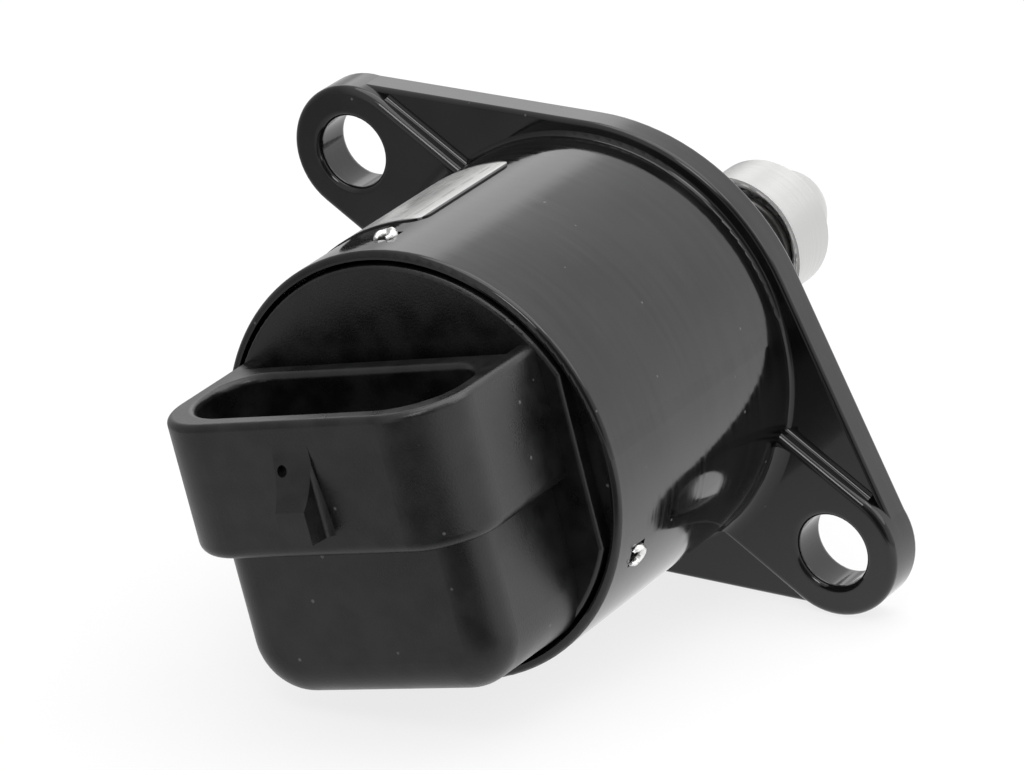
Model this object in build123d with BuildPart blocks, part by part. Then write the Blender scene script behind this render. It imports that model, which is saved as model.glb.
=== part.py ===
from build123d import *

import math
import os

# Idle air control valve. A small stepper motor in a die-cast can turns a threaded nut, and the nut draws a
# lead screw and its plug in and out of an air passage behind the flange.
#
# Millimetres. The origin is the centre of the mounting face, on the valve's axis. +Y runs from the mounting
# face to the plug, +Z out of the connector's socket, and +X to the right as seen from the connector.

# Can
body_radius = 16.0
body_length = 26.7  # mounting face to the can's mouth
can_wall = 1.7
front_wall = 4.0  # can floor to mounting face
mouth_lip = 0.6  # wall left round the counterbore at the mouth
mouth_depth = 4.8
mouth_round = 0.45

# Flange
plate_ledge = 1.2  # plate outline beyond the can
plate_thickness = 2.5
plate_inset = 0.05  # plate outline inside the pads at the lobes
pad_height = 1.1
pad_round = 0.6
lobe_radius = 5.05
hole_spacing = 46.0
hole_angle = -45.0  # from +X, towards +Z
hole_radius = 2.75
hole_round = 0.5
edge_round = 0.35
plate_fillet = 0.4  # where the plate meets the can, and beside the pads
pad_fillet = 1.2  # where the pads run into the can
web_corner = 2.0  # where the side without a web meets the can's ledge

# Spigot in front of the mounting face
spigot_radius = 10.0
spigot_length = 7.5
spigot_chamfer = 0.6
seal_groove_start = 1.3
seal_groove_width = 2.7
seal_groove_depth = 1.4
seal_section = 2.0  # diameter of the O-ring's section
spring_recess_radius = 5.6
spring_recess_depth = 3.5

# Stakes that lock the cap, punched from outside at three places
stake_count = 3
stake_setback = 3.2  # from the mouth
stake_size = 1.7
stake_depth = 0.45
stake_bump = 0.8  # how far the metal moves inwards

# End cap and its connector
cap_gap = 0.35  # dark ring between cap and can
cap_proud = 0.3
cap_flat_ledge = 1.4  # the flats' distance in from the cap's edge
cap_flat_depth = 1.2
cap_round = 0.3
cap_seal_thickness = 0.6
cap_skirt_length = 2.2
cap_skirt_wall = 1.2
cap_hub_wall = 1.7
shroud_width = 24.6
shroud_depth = 12.95  # from the cap's face
shroud_top = 8.7
shroud_bottom = -1.25
shroud_corner = 4.9
shroud_lower_round = 0.9
shroud_rim_round = 0.5
socket_wall = 1.65
socket_front_wall = 1.75
socket_length = 8.2
socket_floor = 1.05
socket_front_corner = 4.2
socket_back_corner = 3.0
relief_width = 1.2  # slot between the socket's back wall and the cap
relief_depth = 4.0
root_inset = 1.45  # in from the shroud's sides, at the cap
root_setback = 2.5  # behind the shroud's front
root_bottom = -12.95
root_corner = 4.4
root_front_round = 2.8
root_draft = 1.0  # degrees
nib_width = 2.4  # across the crest
nib_base_width = 2.8
nib_top_width = 1.7
nib_foot = 0.6  # concave fillet beside it
nib_height = 1.8
nib_top = 7.1
nib_crest = 2.85
nib_bottom = 0.45
gate_radius = 0.4  # moulding mark beside the nib
gate_depth = 0.25
gate_x = -0.9
gate_z = 5.3

# Terminals
terminal_count = 4
terminal_pitch = 3.5
terminal_width = 1.5
terminal_thickness = 0.8
terminal_height = 4.2  # above the socket's floor
terminal_leg_depth = 7.0  # below the socket's floor
terminal_reach = 2.4  # past the cap's seat, into the can
terminal_bend = 1.2
terminal_point = 0.25

# Front ball bearing
bearing_width = 4.0
bearing_bore_radius = 3.5
bearing_radius = 6.5
race_wall = 1.0
ball_radius = 1.0
ball_count = 8
cage_wall = 0.5
cage_rim = 0.35  # beside each ball

# Rotor
nut_radius = 4.4
magnet_radius = 6.7
magnet_front_gap = 1.0
magnet_rear_gap = 0.8
journal_radius = 3.0
washer_thickness = 0.5
bush_wall = 1.4
bush_length = 4.0

# Stator
air_gap = 0.3
sheet = 0.8
claw_thickness = 0.6
claw_setback = 0.15  # claw's flat face behind the plate's bore
claw_width = 2.4
claw_count = 6  # on each plate
claw_tip_gap = 0.6
bobbin_wall = 0.6
winding_margin = 0.8  # bobbin flange beyond the winding
preload_thickness = 0.7

# Lead screw, plug and spring
travel = 8.0
screw_radius = 2.1
screw_flat = 1.6  # axis to each flat
screw_engagement = 10.0
flat_margin = 0.5
stem_radius = 1.7
guide_radius = 4.2
guide_flange_radius = 5.3
guide_flange = 1.0
guide_setback = 0.3
plug_reach = 27.8  # mounting face to the plug's tip
plug_length = 10.15
plug_radius = 5.2
plug_rim_radius = 5.8
plug_rim_length = 0.95
plug_rim_land = 0.3
plug_wall = 0.45
plug_stem_cover = 3.6  # metal left between stem and tip
plug_floor = 3.6  # from the rim
plug_hub_setback = 1.2
plug_shoulder = 5.6
plug_nose_radius = 3.6
plug_nose_length = 1.6
plug_nose_round = 0.8
plug_tip_radius = 2.6
plug_step = 0.45
plug_hub_radius = 3.1
spring_wire = 0.8
spring_radius = 4.15
spring_turns = 6.5

# Label
label_thickness = 0.1
label_start = 8.1  # mounting face to its near edge
label_length = 12.4
label_edge = 3.5  # degrees from +Z towards +X
label_arc = 71.5  # degrees
label_corner = 1.4

# Fits
press_gap = 0.02
running_gap = 0.05
end_play = 0.05
assembly_gap = 0.1

# Radii that follow from the sizes above
bore_radius = body_radius - can_wall
mouth_radius = body_radius - mouth_lip
cap_radius = mouth_radius - cap_gap
ball_circle = (bearing_bore_radius + bearing_radius) / 2
claw_radius = magnet_radius + air_gap
claw_circle = claw_radius + claw_setback + claw_thickness / 2
claw_outer_radius = claw_circle + claw_thickness / 2
cup_radius = bore_radius - running_gap
cup_inner_radius = cup_radius - sheet
bobbin_bore = math.hypot(claw_outer_radius, claw_width / 2) + assembly_gap
bobbin_core = bobbin_bore + bobbin_wall
bobbin_radius = cup_inner_radius - assembly_gap
bush_radius = journal_radius + running_gap + bush_wall
skirt_radius = bore_radius - running_gap
hub_radius = bush_radius + cap_hub_wall

pad_top = plate_thickness + pad_height

# The flange's sketch plane has local x along the row of holes and y across it. The other plane cuts that row.
slope = math.radians(hole_angle)
flange_face = Plane((0, 0, 0), x_dir=(math.cos(slope), 0, math.sin(slope)), z_dir=(0, -1, 0))
flange_section = Plane((0, 0, 0), x_dir=flange_face.y_dir, z_dir=flange_face.x_dir)

# Stations along the axis
can_floor = -front_wall
can_mouth = -body_length
mouth_step = can_mouth + mouth_depth
cap_seat = mouth_step - cap_seal_thickness
cap_face = can_mouth - cap_proud
skirt_end = cap_seat + cap_skirt_length
stack_end = skirt_end + preload_thickness
stack_middle = (can_floor + stack_end) / 2
stake_station = can_mouth + stake_setback
bearing_seat = can_floor + bearing_width
ball_station = can_floor + bearing_width / 2
guide_start = bearing_seat + guide_setback
recess_floor = spigot_length - spring_recess_depth
spring_seat = recess_floor + guide_flange
plug_rim = plug_reach - plug_length
spring_stop = plug_rim + plug_floor
bush_front = skirt_end - washer_thickness / 2
bush_rear = bush_front - bush_length
journal_end = bush_rear + guide_setback
nut_shoulder = bush_front + washer_thickness + end_play
magnet_front = can_floor - magnet_front_gap
magnet_rear = stack_end + magnet_rear_gap
screw_end = can_floor - screw_engagement
flat_start = guide_start - flat_margin
flat_end = spring_seat + travel + flat_margin
stem_end = plug_reach - plug_stem_cover

# Connector stations
shroud_front = cap_face - shroud_depth
socket_front = shroud_front + socket_front_wall
socket_back = socket_front + socket_length
socket_base = shroud_bottom + socket_floor
root_front = shroud_front + root_setback
terminal_station = (socket_front + socket_back) / 2
terminal_row = [terminal_pitch * (i - (terminal_count - 1) / 2) for i in range(terminal_count)]


def ring(inner, outer, start, end, mode=Mode.ADD):
    """Turn a plain ring about the valve's axis, between two stations."""
    with BuildSketch(Plane.XY) as section:
        with Locations(((inner + outer) / 2, (start + end) / 2)):
            Rectangle(outer - inner, abs(end - start))
    revolve(section.sketch, axis=Axis.Y, mode=mode)


def turned(*profile, mode=Mode.ADD):
    """Turn a closed profile of (radius, station) points about the valve's axis."""
    with BuildSketch(Plane.XY) as section:
        with BuildLine():
            Polyline(*profile, close=True)
        make_face()
    revolve(section.sketch, axis=Axis.Y, mode=mode)


def can_foot(station, radius):
    """Turn a concave fillet round the can, on a face at one station."""
    with BuildSketch(Plane.XY) as section:
        with Locations((body_radius + radius / 2, station - radius / 2)):
            Rectangle(radius, radius)
        with Locations((body_radius + radius, station - radius)):
            Circle(radius, mode=Mode.SUBTRACT)
    revolve(section.sketch, axis=Axis.Y)


def plate_outline(inset):
    """Draw the plate: webs run from the lobes to the can's ledge, apart from one side of the far lobe."""
    ledge = body_radius + plate_ledge - inset
    lobe = lobe_radius - plate_inset - inset
    Circle(ledge)
    with GridLocations(hole_spacing, 0, 2, 1):
        Circle(lobe)
    make_hull()
    Rectangle(hole_spacing, 2 * ledge, align=(Align.MAX, Align.MAX), mode=Mode.SUBTRACT)
    SlotCenterToCenter(hole_spacing, 2 * lobe)
    Circle(ledge)
    fillet(vertices().sort_by_distance((-ledge, -lobe))[0], web_corner)


def stake_plane(index, radius):
    """Face outwards at one of the stakes, with local x along the axis."""
    angle = math.tau * index / stake_count
    outwards = Vector(math.sin(angle), 0, math.cos(angle))
    return Plane(outwards * radius + Vector(0, stake_station, 0), x_dir=(0, 1, 0), z_dir=outwards)


def terminal_strip(x, gap, mode=Mode.ADD):
    """Extrude one bent terminal, or its slot with a gap all round."""
    leg = socket_base - terminal_leg_depth
    with BuildSketch(Plane.YZ.offset(x)) as strip:
        with BuildLine():
            FilletPolyline(
                (cap_seat + terminal_reach, leg),
                (terminal_station, leg),
                (terminal_station, socket_base + terminal_height),
                radius=terminal_bend,
            )
        trace(line_width=terminal_thickness + 2 * gap)
    extrude(strip.sketch, amount=terminal_width / 2 + gap, both=True, mode=mode)


# The flange: a two-lobed plate, with raised pads that run from the lobes into the can
with BuildPart() as flange_plate:
    with BuildSketch(flange_face):
        plate_outline(0)
    extrude(amount=plate_thickness)
    fillet(flange_plate.edges().group_by(Axis.Y)[0], edge_round)
    fillet(flange_plate.edges().group_by(Axis.Y)[-1], edge_round)

with BuildPart() as flange_pads:
    with BuildSketch(flange_face):
        SlotCenterToCenter(hole_spacing, 2 * lobe_radius)
    extrude(amount=pad_top)
    fillet(flange_pads.edges().group_by(Axis.Y)[0], pad_round)
    fillet(flange_pads.edges().group_by(Axis.Y)[-1], edge_round)

with BuildPart() as pad_feet:
    can_foot(-pad_top, pad_fillet)
    with BuildSketch(flange_face):
        SlotCenterToCenter(hole_spacing, 2 * (lobe_radius - pad_round))
    extrude(amount=body_length, mode=Mode.INTERSECT)

with BuildPart() as pad_sides:
    with BuildSketch(flange_section):
        for side in (1, -1):
            with Locations((side * (lobe_radius + plate_fillet / 2), plate_thickness + plate_fillet / 2)):
                Rectangle(plate_fillet, plate_fillet)
            with Locations((side * (lobe_radius + plate_fillet), plate_thickness + plate_fillet)):
                Circle(plate_fillet, mode=Mode.SUBTRACT)
    extrude(amount=hole_spacing / 2, both=True)
    with BuildSketch(flange_face):
        plate_outline(edge_round)
    extrude(amount=pad_top, mode=Mode.INTERSECT)

# The housing is one casting: can, flange and the spigot in front of it
with BuildPart() as housing:
    add(flange_plate.part)
    add(flange_pads.part)
    add(pad_sides.part)
    with BuildSketch(Plane.XZ):
        Circle(body_radius)
    extrude(amount=body_length)
    fillet(housing.edges().group_by(Axis.Y)[0], mouth_round)
    can_foot(-plate_thickness, plate_fillet)
    add(pad_feet.part)
    turned(
        (0, -plate_thickness),
        (spigot_radius, -plate_thickness),
        (spigot_radius, spigot_length - spigot_chamfer),
        (spigot_radius - spigot_chamfer, spigot_length),
        (0, spigot_length),
    )
    ring(0, bore_radius, can_mouth, can_floor, mode=Mode.SUBTRACT)
    ring(0, mouth_radius, can_mouth, mouth_step, mode=Mode.SUBTRACT)
    ring(0, bearing_radius + press_gap, can_floor, bearing_seat, mode=Mode.SUBTRACT)
    ring(0, ball_circle, bearing_seat, guide_start, mode=Mode.SUBTRACT)
    ring(0, guide_radius + press_gap, bearing_seat, recess_floor, mode=Mode.SUBTRACT)
    ring(0, spring_recess_radius, recess_floor, spigot_length, mode=Mode.SUBTRACT)
    ring(
        spigot_radius - seal_groove_depth,
        spigot_radius,
        seal_groove_start,
        seal_groove_start + seal_groove_width,
        mode=Mode.SUBTRACT,
    )
    with BuildSketch(flange_face):
        with GridLocations(hole_spacing, 0, 2, 1):
            Circle(hole_radius)
    extrude(amount=pad_top, mode=Mode.SUBTRACT)
    circles = housing.edges().filter_by(GeomType.CIRCLE)
    fillet(circles.filter_by(lambda e: abs(e.radius - hole_radius) < press_gap), hole_round)
    for index in range(stake_count):
        with BuildSketch(stake_plane(index, mouth_radius)):
            Rectangle(stake_size, stake_size)
        extrude(amount=-stake_bump)
        with BuildSketch(stake_plane(index, body_radius)):
            Rectangle(stake_size, stake_size)
        extrude(amount=-stake_depth, mode=Mode.SUBTRACT)
housing.part.label = "housing"

# The cap's connector: a root block under an open socket, with a latch nib on its front wall
with BuildPart() as connector_root:
    root_back = cap_face + cap_round
    with BuildSketch(Plane.XZ.offset(-root_back)) as root_elevation:
        with Locations((0, (root_bottom + socket_base) / 2)):
            Rectangle(shroud_width - 2 * root_inset, socket_base - root_bottom)
        fillet(root_elevation.vertices().group_by(Axis.Y)[0], root_corner)
    extrude(amount=root_back - root_front, taper=root_draft)
    root_face = connector_root.faces().sort_by(Axis.Y)[0]
    fillet(root_face.edges().sort_by(Axis.Z)[:-1], root_front_round)

with BuildPart() as latch_nib:
    nib_face = shroud_front - nib_height
    nib_root = shroud_front + socket_front_wall / 2
    with BuildSketch(Plane.YZ):
        with BuildLine():
            ramp = TangentArc((shroud_front, nib_top), (nib_face, nib_crest), tangent=(0, -1))
            Polyline(ramp @ 1, (nib_face, nib_bottom), (nib_root, nib_bottom), (nib_root, nib_top), ramp @ 0)
        make_face()
    extrude(amount=nib_base_width, both=True)
    with BuildSketch(Plane.XZ.offset(-nib_root)):
        with BuildLine():
            Polyline(
                (-nib_base_width / 2 - nib_foot, nib_bottom),
                (nib_base_width / 2 + nib_foot, nib_bottom),
                (nib_top_width / 2 + nib_foot, nib_top),
                (-nib_top_width / 2 - nib_foot, nib_top),
                close=True,
            )
        make_face()
    extrude(amount=nib_root - nib_face, mode=Mode.INTERSECT)
    with BuildSketch(Plane.XY.offset(nib_bottom)):
        with BuildLine():
            foot = nib_base_width / 2 + nib_foot
            right = CenterArc((foot, shroud_front - nib_foot), nib_foot, 90, 90)
            left = CenterArc((-foot, shroud_front - nib_foot), nib_foot, 0, 90)
            Polyline(right @ 1, (nib_width / 2, nib_face), (-nib_width / 2, nib_face), left @ 0)
            Polyline(left @ 1, (-foot, nib_root), (foot, nib_root), right @ 0)
        make_face()
    extrude(amount=nib_top - nib_bottom, mode=Mode.INTERSECT)

with BuildPart() as connector_shroud:
    with BuildSketch(Plane.XY.offset(shroud_bottom)) as shroud_plan:
        with Locations((0, (shroud_front + cap_face) / 2)):
            Rectangle(shroud_width, cap_face - shroud_front)
        fillet(shroud_plan.vertices().group_by(Axis.Y)[0], shroud_corner)
    extrude(amount=shroud_top - shroud_bottom)
    lower_edges = connector_shroud.faces().sort_by(Axis.Z)[0].edges()
    fillet(lower_edges.filter_by(lambda e: e.center().Y < cap_face - edge_round), shroud_lower_round)
    with BuildSketch(Plane.XY.offset(socket_base)) as socket_plan:
        with Locations((0, (socket_front + socket_back) / 2)):
            Rectangle(shroud_width - 2 * socket_wall, socket_back - socket_front)
        fillet(socket_plan.vertices().group_by(Axis.Y)[0], socket_front_corner)
        fillet(socket_plan.vertices().group_by(Axis.Y)[-1], socket_back_corner)
    extrude(amount=shroud_top - socket_base, mode=Mode.SUBTRACT)
    with BuildSketch(Plane.XY.offset(shroud_top)):
        with Locations((0, cap_face - relief_width / 2)):
            Rectangle(shroud_width - 2 * socket_wall, relief_width)
    extrude(amount=-relief_depth, mode=Mode.SUBTRACT)
    rim_edges = connector_shroud.faces().sort_by(Axis.Z)[-1].edges()
    fillet(rim_edges.filter_by(lambda e: e.center().Y < cap_face - edge_round), shroud_rim_round)
    add(latch_nib.part)
    with BuildSketch(Plane.XZ.offset(-nib_face)):
        with Locations((gate_x, gate_z)):
            Circle(gate_radius)
    extrude(amount=-(nib_height + gate_depth), mode=Mode.SUBTRACT)

with BuildPart() as end_cap:
    ring(0, cap_radius, cap_face, cap_seat)
    with BuildSketch(Plane.XZ.offset(-(cap_face + cap_flat_depth))):
        with Locations((cap_radius, 0), (-cap_radius, 0)):
            Rectangle(2 * cap_flat_ledge, 2 * cap_radius)
    extrude(amount=cap_flat_depth, mode=Mode.SUBTRACT)
    fillet(end_cap.faces().sort_by(Axis.Y)[0].edges(), cap_round)
    add(connector_root.part)
    add(connector_shroud.part)
    ring(skirt_radius - cap_skirt_wall, skirt_radius, cap_seat, skirt_end)
    ring(0, hub_radius, cap_seat, skirt_end)
    ring(0, bush_radius + press_gap, bush_rear, skirt_end, mode=Mode.SUBTRACT)
    for index in range(stake_count):
        with BuildSketch(stake_plane(index, mouth_radius)):
            Rectangle(stake_size + 2 * assembly_gap, stake_size + 2 * assembly_gap)
        extrude(amount=-(stake_bump + assembly_gap), mode=Mode.SUBTRACT)
    for x in terminal_row:
        terminal_strip(x, press_gap, mode=Mode.SUBTRACT)
end_cap.part.label = "end_cap"

terminals = []
for number, x in enumerate(terminal_row, start=1):
    with BuildPart() as terminal:
        terminal_strip(x, 0)
        tip = terminal.faces().sort_by(Axis.Z)[-1]
        chamfer(tip.edges(), terminal_point)
    terminal.part.label = f"terminal_{number}"
    terminals.append(terminal)

with BuildPart() as cap_seal:
    ring(bore_radius + running_gap, mouth_radius - running_gap, cap_seat, mouth_step)
cap_seal.part.label = "cap_seal"

with BuildPart() as o_ring:
    with BuildSketch(Plane.XY):
        with Locations((
            spigot_radius - seal_groove_depth + seal_section / 2 + press_gap,
            seal_groove_start + seal_groove_width / 2,
        )):
            Circle(seal_section / 2)
    revolve(axis=Axis.Y)
o_ring.part.label = "o_ring"

with BuildPart() as label:
    with BuildSketch(Plane.XY.rotated((0, label_edge - label_arc - 90, 0))):
        with Locations((body_radius + label_thickness / 2, -label_start - label_length / 2)):
            Rectangle(label_thickness, label_length)
    revolve(axis=Axis.Y, revolution_arc=label_arc)
    corners = label.edges().filter_by(lambda e: abs(e.length - label_thickness) < press_gap)
    fillet(corners, label_corner)
label.part.label = "label"

# The front ball bearing, seated in the can's floor
with BuildPart() as bearing_outer:
    with BuildSketch(Plane.XY):
        with Locations((bearing_radius - race_wall / 2, ball_station)):
            Rectangle(race_wall, bearing_width)
        with Locations((ball_circle, ball_station)):
            Circle(ball_radius + running_gap, mode=Mode.SUBTRACT)
    revolve(axis=Axis.Y)
bearing_outer.part.label = "bearing_outer"

with BuildPart() as bearing_inner:
    with BuildSketch(Plane.XY):
        with Locations((bearing_bore_radius + race_wall / 2, ball_station)):
            Rectangle(race_wall, bearing_width)
        with Locations((ball_circle, ball_station)):
            Circle(ball_radius + running_gap, mode=Mode.SUBTRACT)
    revolve(axis=Axis.Y)
bearing_inner.part.label = "bearing_inner"

with BuildPart(Plane.XZ.offset(-ball_station)) as bearing_balls:
    with PolarLocations(ball_circle, ball_count):
        Sphere(ball_radius)
bearing_balls.part.label = "bearing_balls"

with BuildPart(Plane.XZ.offset(-ball_station)) as bearing_cage:
    Cylinder(ball_circle + cage_wall / 2, 2 * (ball_radius + cage_rim))
    Cylinder(ball_circle - cage_wall / 2, 2 * (ball_radius + cage_rim), mode=Mode.SUBTRACT)
    with PolarLocations(ball_circle, ball_count):
        Cylinder(ball_radius + running_gap, 2 * cage_wall, rotation=(0, 90, 0), mode=Mode.SUBTRACT)
bearing_cage.part.label = "bearing_cage"

# The rotor: a threaded nut in a ring magnet, on the ball bearing in front and a plain bush behind
with BuildPart() as rotor_nut:
    turned(
        (screw_radius + running_gap, journal_end),
        (journal_radius, journal_end),
        (journal_radius, nut_shoulder),
        (nut_radius, nut_shoulder),
        (nut_radius, can_floor),
        (bearing_bore_radius - press_gap, can_floor),
        (bearing_bore_radius - press_gap, bearing_seat),
        (screw_radius + running_gap, bearing_seat),
    )
rotor_nut.part.label = "rotor_nut"

with BuildPart() as rotor_magnet:
    ring(nut_radius + press_gap, magnet_radius, magnet_rear, magnet_front)
rotor_magnet.part.label = "rotor_magnet"

with BuildPart() as rear_bush:
    ring(journal_radius + running_gap, bush_radius, bush_rear, bush_front)
rear_bush.part.label = "rear_bush"

with BuildPart() as thrust_washer:
    ring(journal_radius + running_gap, bush_radius, bush_front, bush_front + washer_thickness)
thrust_washer.part.label = "thrust_washer"

# The stator: two claw-pole units back to back, each a cup and a plate round a coil
claw_length = can_floor - stack_middle - 2 * sheet - claw_tip_gap
with BuildPart() as stator_cup_front:
    ring(cup_inner_radius, cup_radius, stack_middle, can_floor)
    ring(claw_radius, cup_radius, can_floor - sheet, can_floor)
    with BuildSketch(Plane.XZ.offset(sheet - can_floor)):
        with PolarLocations(claw_circle, claw_count):
            Rectangle(claw_thickness, claw_width)
    extrude(amount=claw_length)
stator_cup_front.part.label = "stator_cup_front"

with BuildPart() as stator_plate_front:
    ring(claw_radius, cup_inner_radius - press_gap, stack_middle, stack_middle + sheet)
    with BuildSketch(Plane.XZ.offset(-stack_middle - sheet)):
        with PolarLocations(claw_circle, claw_count, start_angle=180 / claw_count):
            Rectangle(claw_thickness, claw_width)
    extrude(amount=-claw_length)
stator_plate_front.part.label = "stator_plate_front"

coil_front = can_floor - sheet - assembly_gap
coil_rear = stack_middle + sheet + assembly_gap
with BuildPart() as bobbin_front:
    turned(
        (bobbin_bore, coil_front),
        (bobbin_radius, coil_front),
        (bobbin_radius, coil_front - bobbin_wall),
        (bobbin_core, coil_front - bobbin_wall),
        (bobbin_core, coil_rear + bobbin_wall),
        (bobbin_radius, coil_rear + bobbin_wall),
        (bobbin_radius, coil_rear),
        (bobbin_bore, coil_rear),
    )
bobbin_front.part.label = "bobbin_front"

with BuildPart() as winding_front:
    ring(
        bobbin_core + press_gap,
        bobbin_radius - winding_margin,
        coil_rear + bobbin_wall + press_gap,
        coil_front - bobbin_wall - press_gap,
    )
winding_front.part.label = "winding_front"

# The rear unit mirrors the front one and stands a quarter of a claw pitch further round
rear_half = Plane.XZ.offset(-stack_middle)
quarter_pitch = 90 / claw_count
rear_units = []
for front in (stator_cup_front, stator_plate_front, bobbin_front, winding_front):
    with BuildPart() as rear:
        add(front.part.mirror(rear_half).rotate(Axis.Y, quarter_pitch))
    rear.part.label = front.part.label.replace("front", "rear")
    rear_units.append(rear)

with BuildPart() as preload_ring:
    ring(skirt_radius - cap_skirt_wall, skirt_radius, skirt_end, stack_end)
preload_ring.part.label = "preload_ring"

# The lead screw slides through a keyed bush in the spigot and carries the plug against a spring
with BuildPart() as guide_bush:
    ring(0, guide_radius, guide_start, recess_floor)
    ring(0, guide_flange_radius, recess_floor, spring_seat)
    with BuildSketch(Plane.XZ.offset(-guide_start)):
        Circle(screw_radius + running_gap)
        Rectangle(4 * screw_radius, 2 * (screw_flat + running_gap), mode=Mode.INTERSECT)
    extrude(amount=guide_start - spring_seat, mode=Mode.SUBTRACT)
guide_bush.part.label = "guide_bush"

with BuildPart() as lead_screw:
    ring(0, screw_radius, screw_end, flat_end)
    ring(0, stem_radius, flat_end, stem_end)
    with BuildSketch(Plane.XZ.offset(-flat_start)):
        Rectangle(4 * screw_radius, 4 * screw_radius)
        Rectangle(4 * screw_radius, 2 * screw_flat, mode=Mode.SUBTRACT)
    extrude(amount=flat_start - flat_end, mode=Mode.SUBTRACT)
lead_screw.part.label = "lead_screw"

with BuildPart() as plug:
    cup_radius_inside = plug_radius - plug_wall
    shoulder = plug_rim + plug_shoulder
    nose = shoulder + plug_nose_length
    with BuildSketch(Plane.XY):
        with BuildLine():
            flank = TangentArc((plug_nose_radius, nose), (plug_tip_radius, plug_reach), tangent=(0, 1))
            Polyline(
                flank @ 1,
                (0, plug_reach),
                (0, stem_end),
                (stem_radius + press_gap, stem_end),
                (stem_radius + press_gap, plug_rim + plug_hub_setback),
                (plug_hub_radius, plug_rim + plug_hub_setback),
                (plug_hub_radius, spring_stop),
                (cup_radius_inside, spring_stop),
                (cup_radius_inside, plug_rim + plug_rim_length),
                (plug_rim_radius - plug_rim_land, plug_rim),
                (plug_rim_radius, plug_rim),
                (plug_radius, plug_rim + plug_rim_length),
                (plug_radius, shoulder),
                (plug_nose_radius, shoulder + plug_step),
                flank @ 0,
            )
        make_face()
    revolve(axis=Axis.Y)
    tip_edge = plug.edges().filter_by(GeomType.CIRCLE).sort_by(Axis.Y)[-1]
    fillet(tip_edge, plug_nose_round)
plug.part.label = "plug"

with BuildPart() as spring:
    coil_height = spring_stop - spring_seat - spring_wire - 2 * press_gap
    coil_base = spring_seat + spring_wire / 2 + press_gap
    with BuildLine() as coil:
        Helix(
            coil_height / spring_turns,
            coil_height,
            spring_radius,
            center=(0, coil_base, 0),
            direction=(0, 1, 0),
        )
    with BuildSketch(Plane(coil.line @ 0, z_dir=coil.line % 0)):
        Circle(spring_wire / 2)
    sweep(is_frenet=True)
spring.part.label = "spring"

pieces = [
    housing, end_cap, label, *terminals, o_ring, cap_seal, preload_ring,
    stator_cup_front, stator_plate_front, bobbin_front, winding_front, *rear_units,
    bearing_outer, bearing_inner, bearing_balls, bearing_cage, rear_bush, thrust_washer,
    rotor_nut, rotor_magnet, guide_bush, lead_screw, plug, spring,
]
os.makedirs("parts", exist_ok=True)
for piece in pieces:
    export_step(piece.part, f"parts/{piece.part.label}.step")
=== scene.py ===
"""Dresses an idle air control valve: finishes, wound and threaded details, and a studio stage."""

import math

import bpy
from bpy.props import FloatProperty, FloatVectorProperty, IntProperty, PointerProperty
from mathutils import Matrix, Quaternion, Vector


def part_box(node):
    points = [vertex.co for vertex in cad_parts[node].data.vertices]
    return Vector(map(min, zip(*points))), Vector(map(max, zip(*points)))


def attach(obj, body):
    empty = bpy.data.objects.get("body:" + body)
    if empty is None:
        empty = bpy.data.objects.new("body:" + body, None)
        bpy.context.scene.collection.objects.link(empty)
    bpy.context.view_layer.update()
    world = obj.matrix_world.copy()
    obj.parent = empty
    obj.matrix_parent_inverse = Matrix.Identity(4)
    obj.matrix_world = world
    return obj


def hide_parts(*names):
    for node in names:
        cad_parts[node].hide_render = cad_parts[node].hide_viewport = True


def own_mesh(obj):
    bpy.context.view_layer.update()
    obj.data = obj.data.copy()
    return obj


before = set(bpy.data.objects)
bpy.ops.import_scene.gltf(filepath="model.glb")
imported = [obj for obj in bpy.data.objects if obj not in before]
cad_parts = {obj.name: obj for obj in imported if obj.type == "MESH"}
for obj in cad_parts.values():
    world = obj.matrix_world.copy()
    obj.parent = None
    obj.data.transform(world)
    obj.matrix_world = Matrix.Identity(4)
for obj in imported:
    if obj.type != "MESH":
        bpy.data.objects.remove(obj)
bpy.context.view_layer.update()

bl_info = {
    "name": "Idle air control valve",
    "version": (1, 0, 0),
    "blender": (4, 5, 0),
    "location": "3D View > Sidebar > Valve",
    "description": "Finishes, wound and threaded details and a studio stage for an idle air control valve",
    "category": "Object",
}

MM = 0.001

SPRING_LOW, SPRING_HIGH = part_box("spring")
SCREW_LOW, SCREW_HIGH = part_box("lead_screw")
HOUSING_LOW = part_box("housing")[0]
LABEL_LOW, LABEL_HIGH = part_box("label")
PLUG_LOW, PLUG_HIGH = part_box("plug")


# Node helpers

def add_node(tree, kind, inputs=None, **options):
    """Add a node, set its options, and fill its inputs with values or links."""
    node = tree.nodes.new(kind)
    for name, value in options.items():
        setattr(node, name, value)
    for key, value in (inputs or {}).items():
        if isinstance(value, bpy.types.NodeSocket):
            tree.links.new(value, node.inputs[key])
        else:
            node.inputs[key].default_value = value
    return node


def math_node(tree, operation, *values):
    """Return the result of one Math node; each value is a number or a socket."""
    return add_node(tree, "ShaderNodeMath", dict(enumerate(values)), operation=operation).outputs[0]


def remap(tree, value, low, high, to_low=0.0, to_high=1.0, smooth=True):
    """Carry a value from one range to another, held at both ends."""
    return add_node(
        tree,
        "ShaderNodeMapRange",
        {"Value": value, "From Min": low, "From Max": high, "To Min": to_low, "To Max": to_high},
        interpolation_type="SMOOTHSTEP" if smooth else "LINEAR",
    ).outputs["Result"]


def shade(colour, share):
    """Scale all the channels of a colour."""
    return [share * channel for channel in colour]


def mix_number(tree, factor, first, second):
    """Blend two numbers, each given as a number or a socket."""
    return add_node(tree, "ShaderNodeMix", {0: factor, 2: first, 3: second}, data_type="FLOAT").outputs[0]


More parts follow.
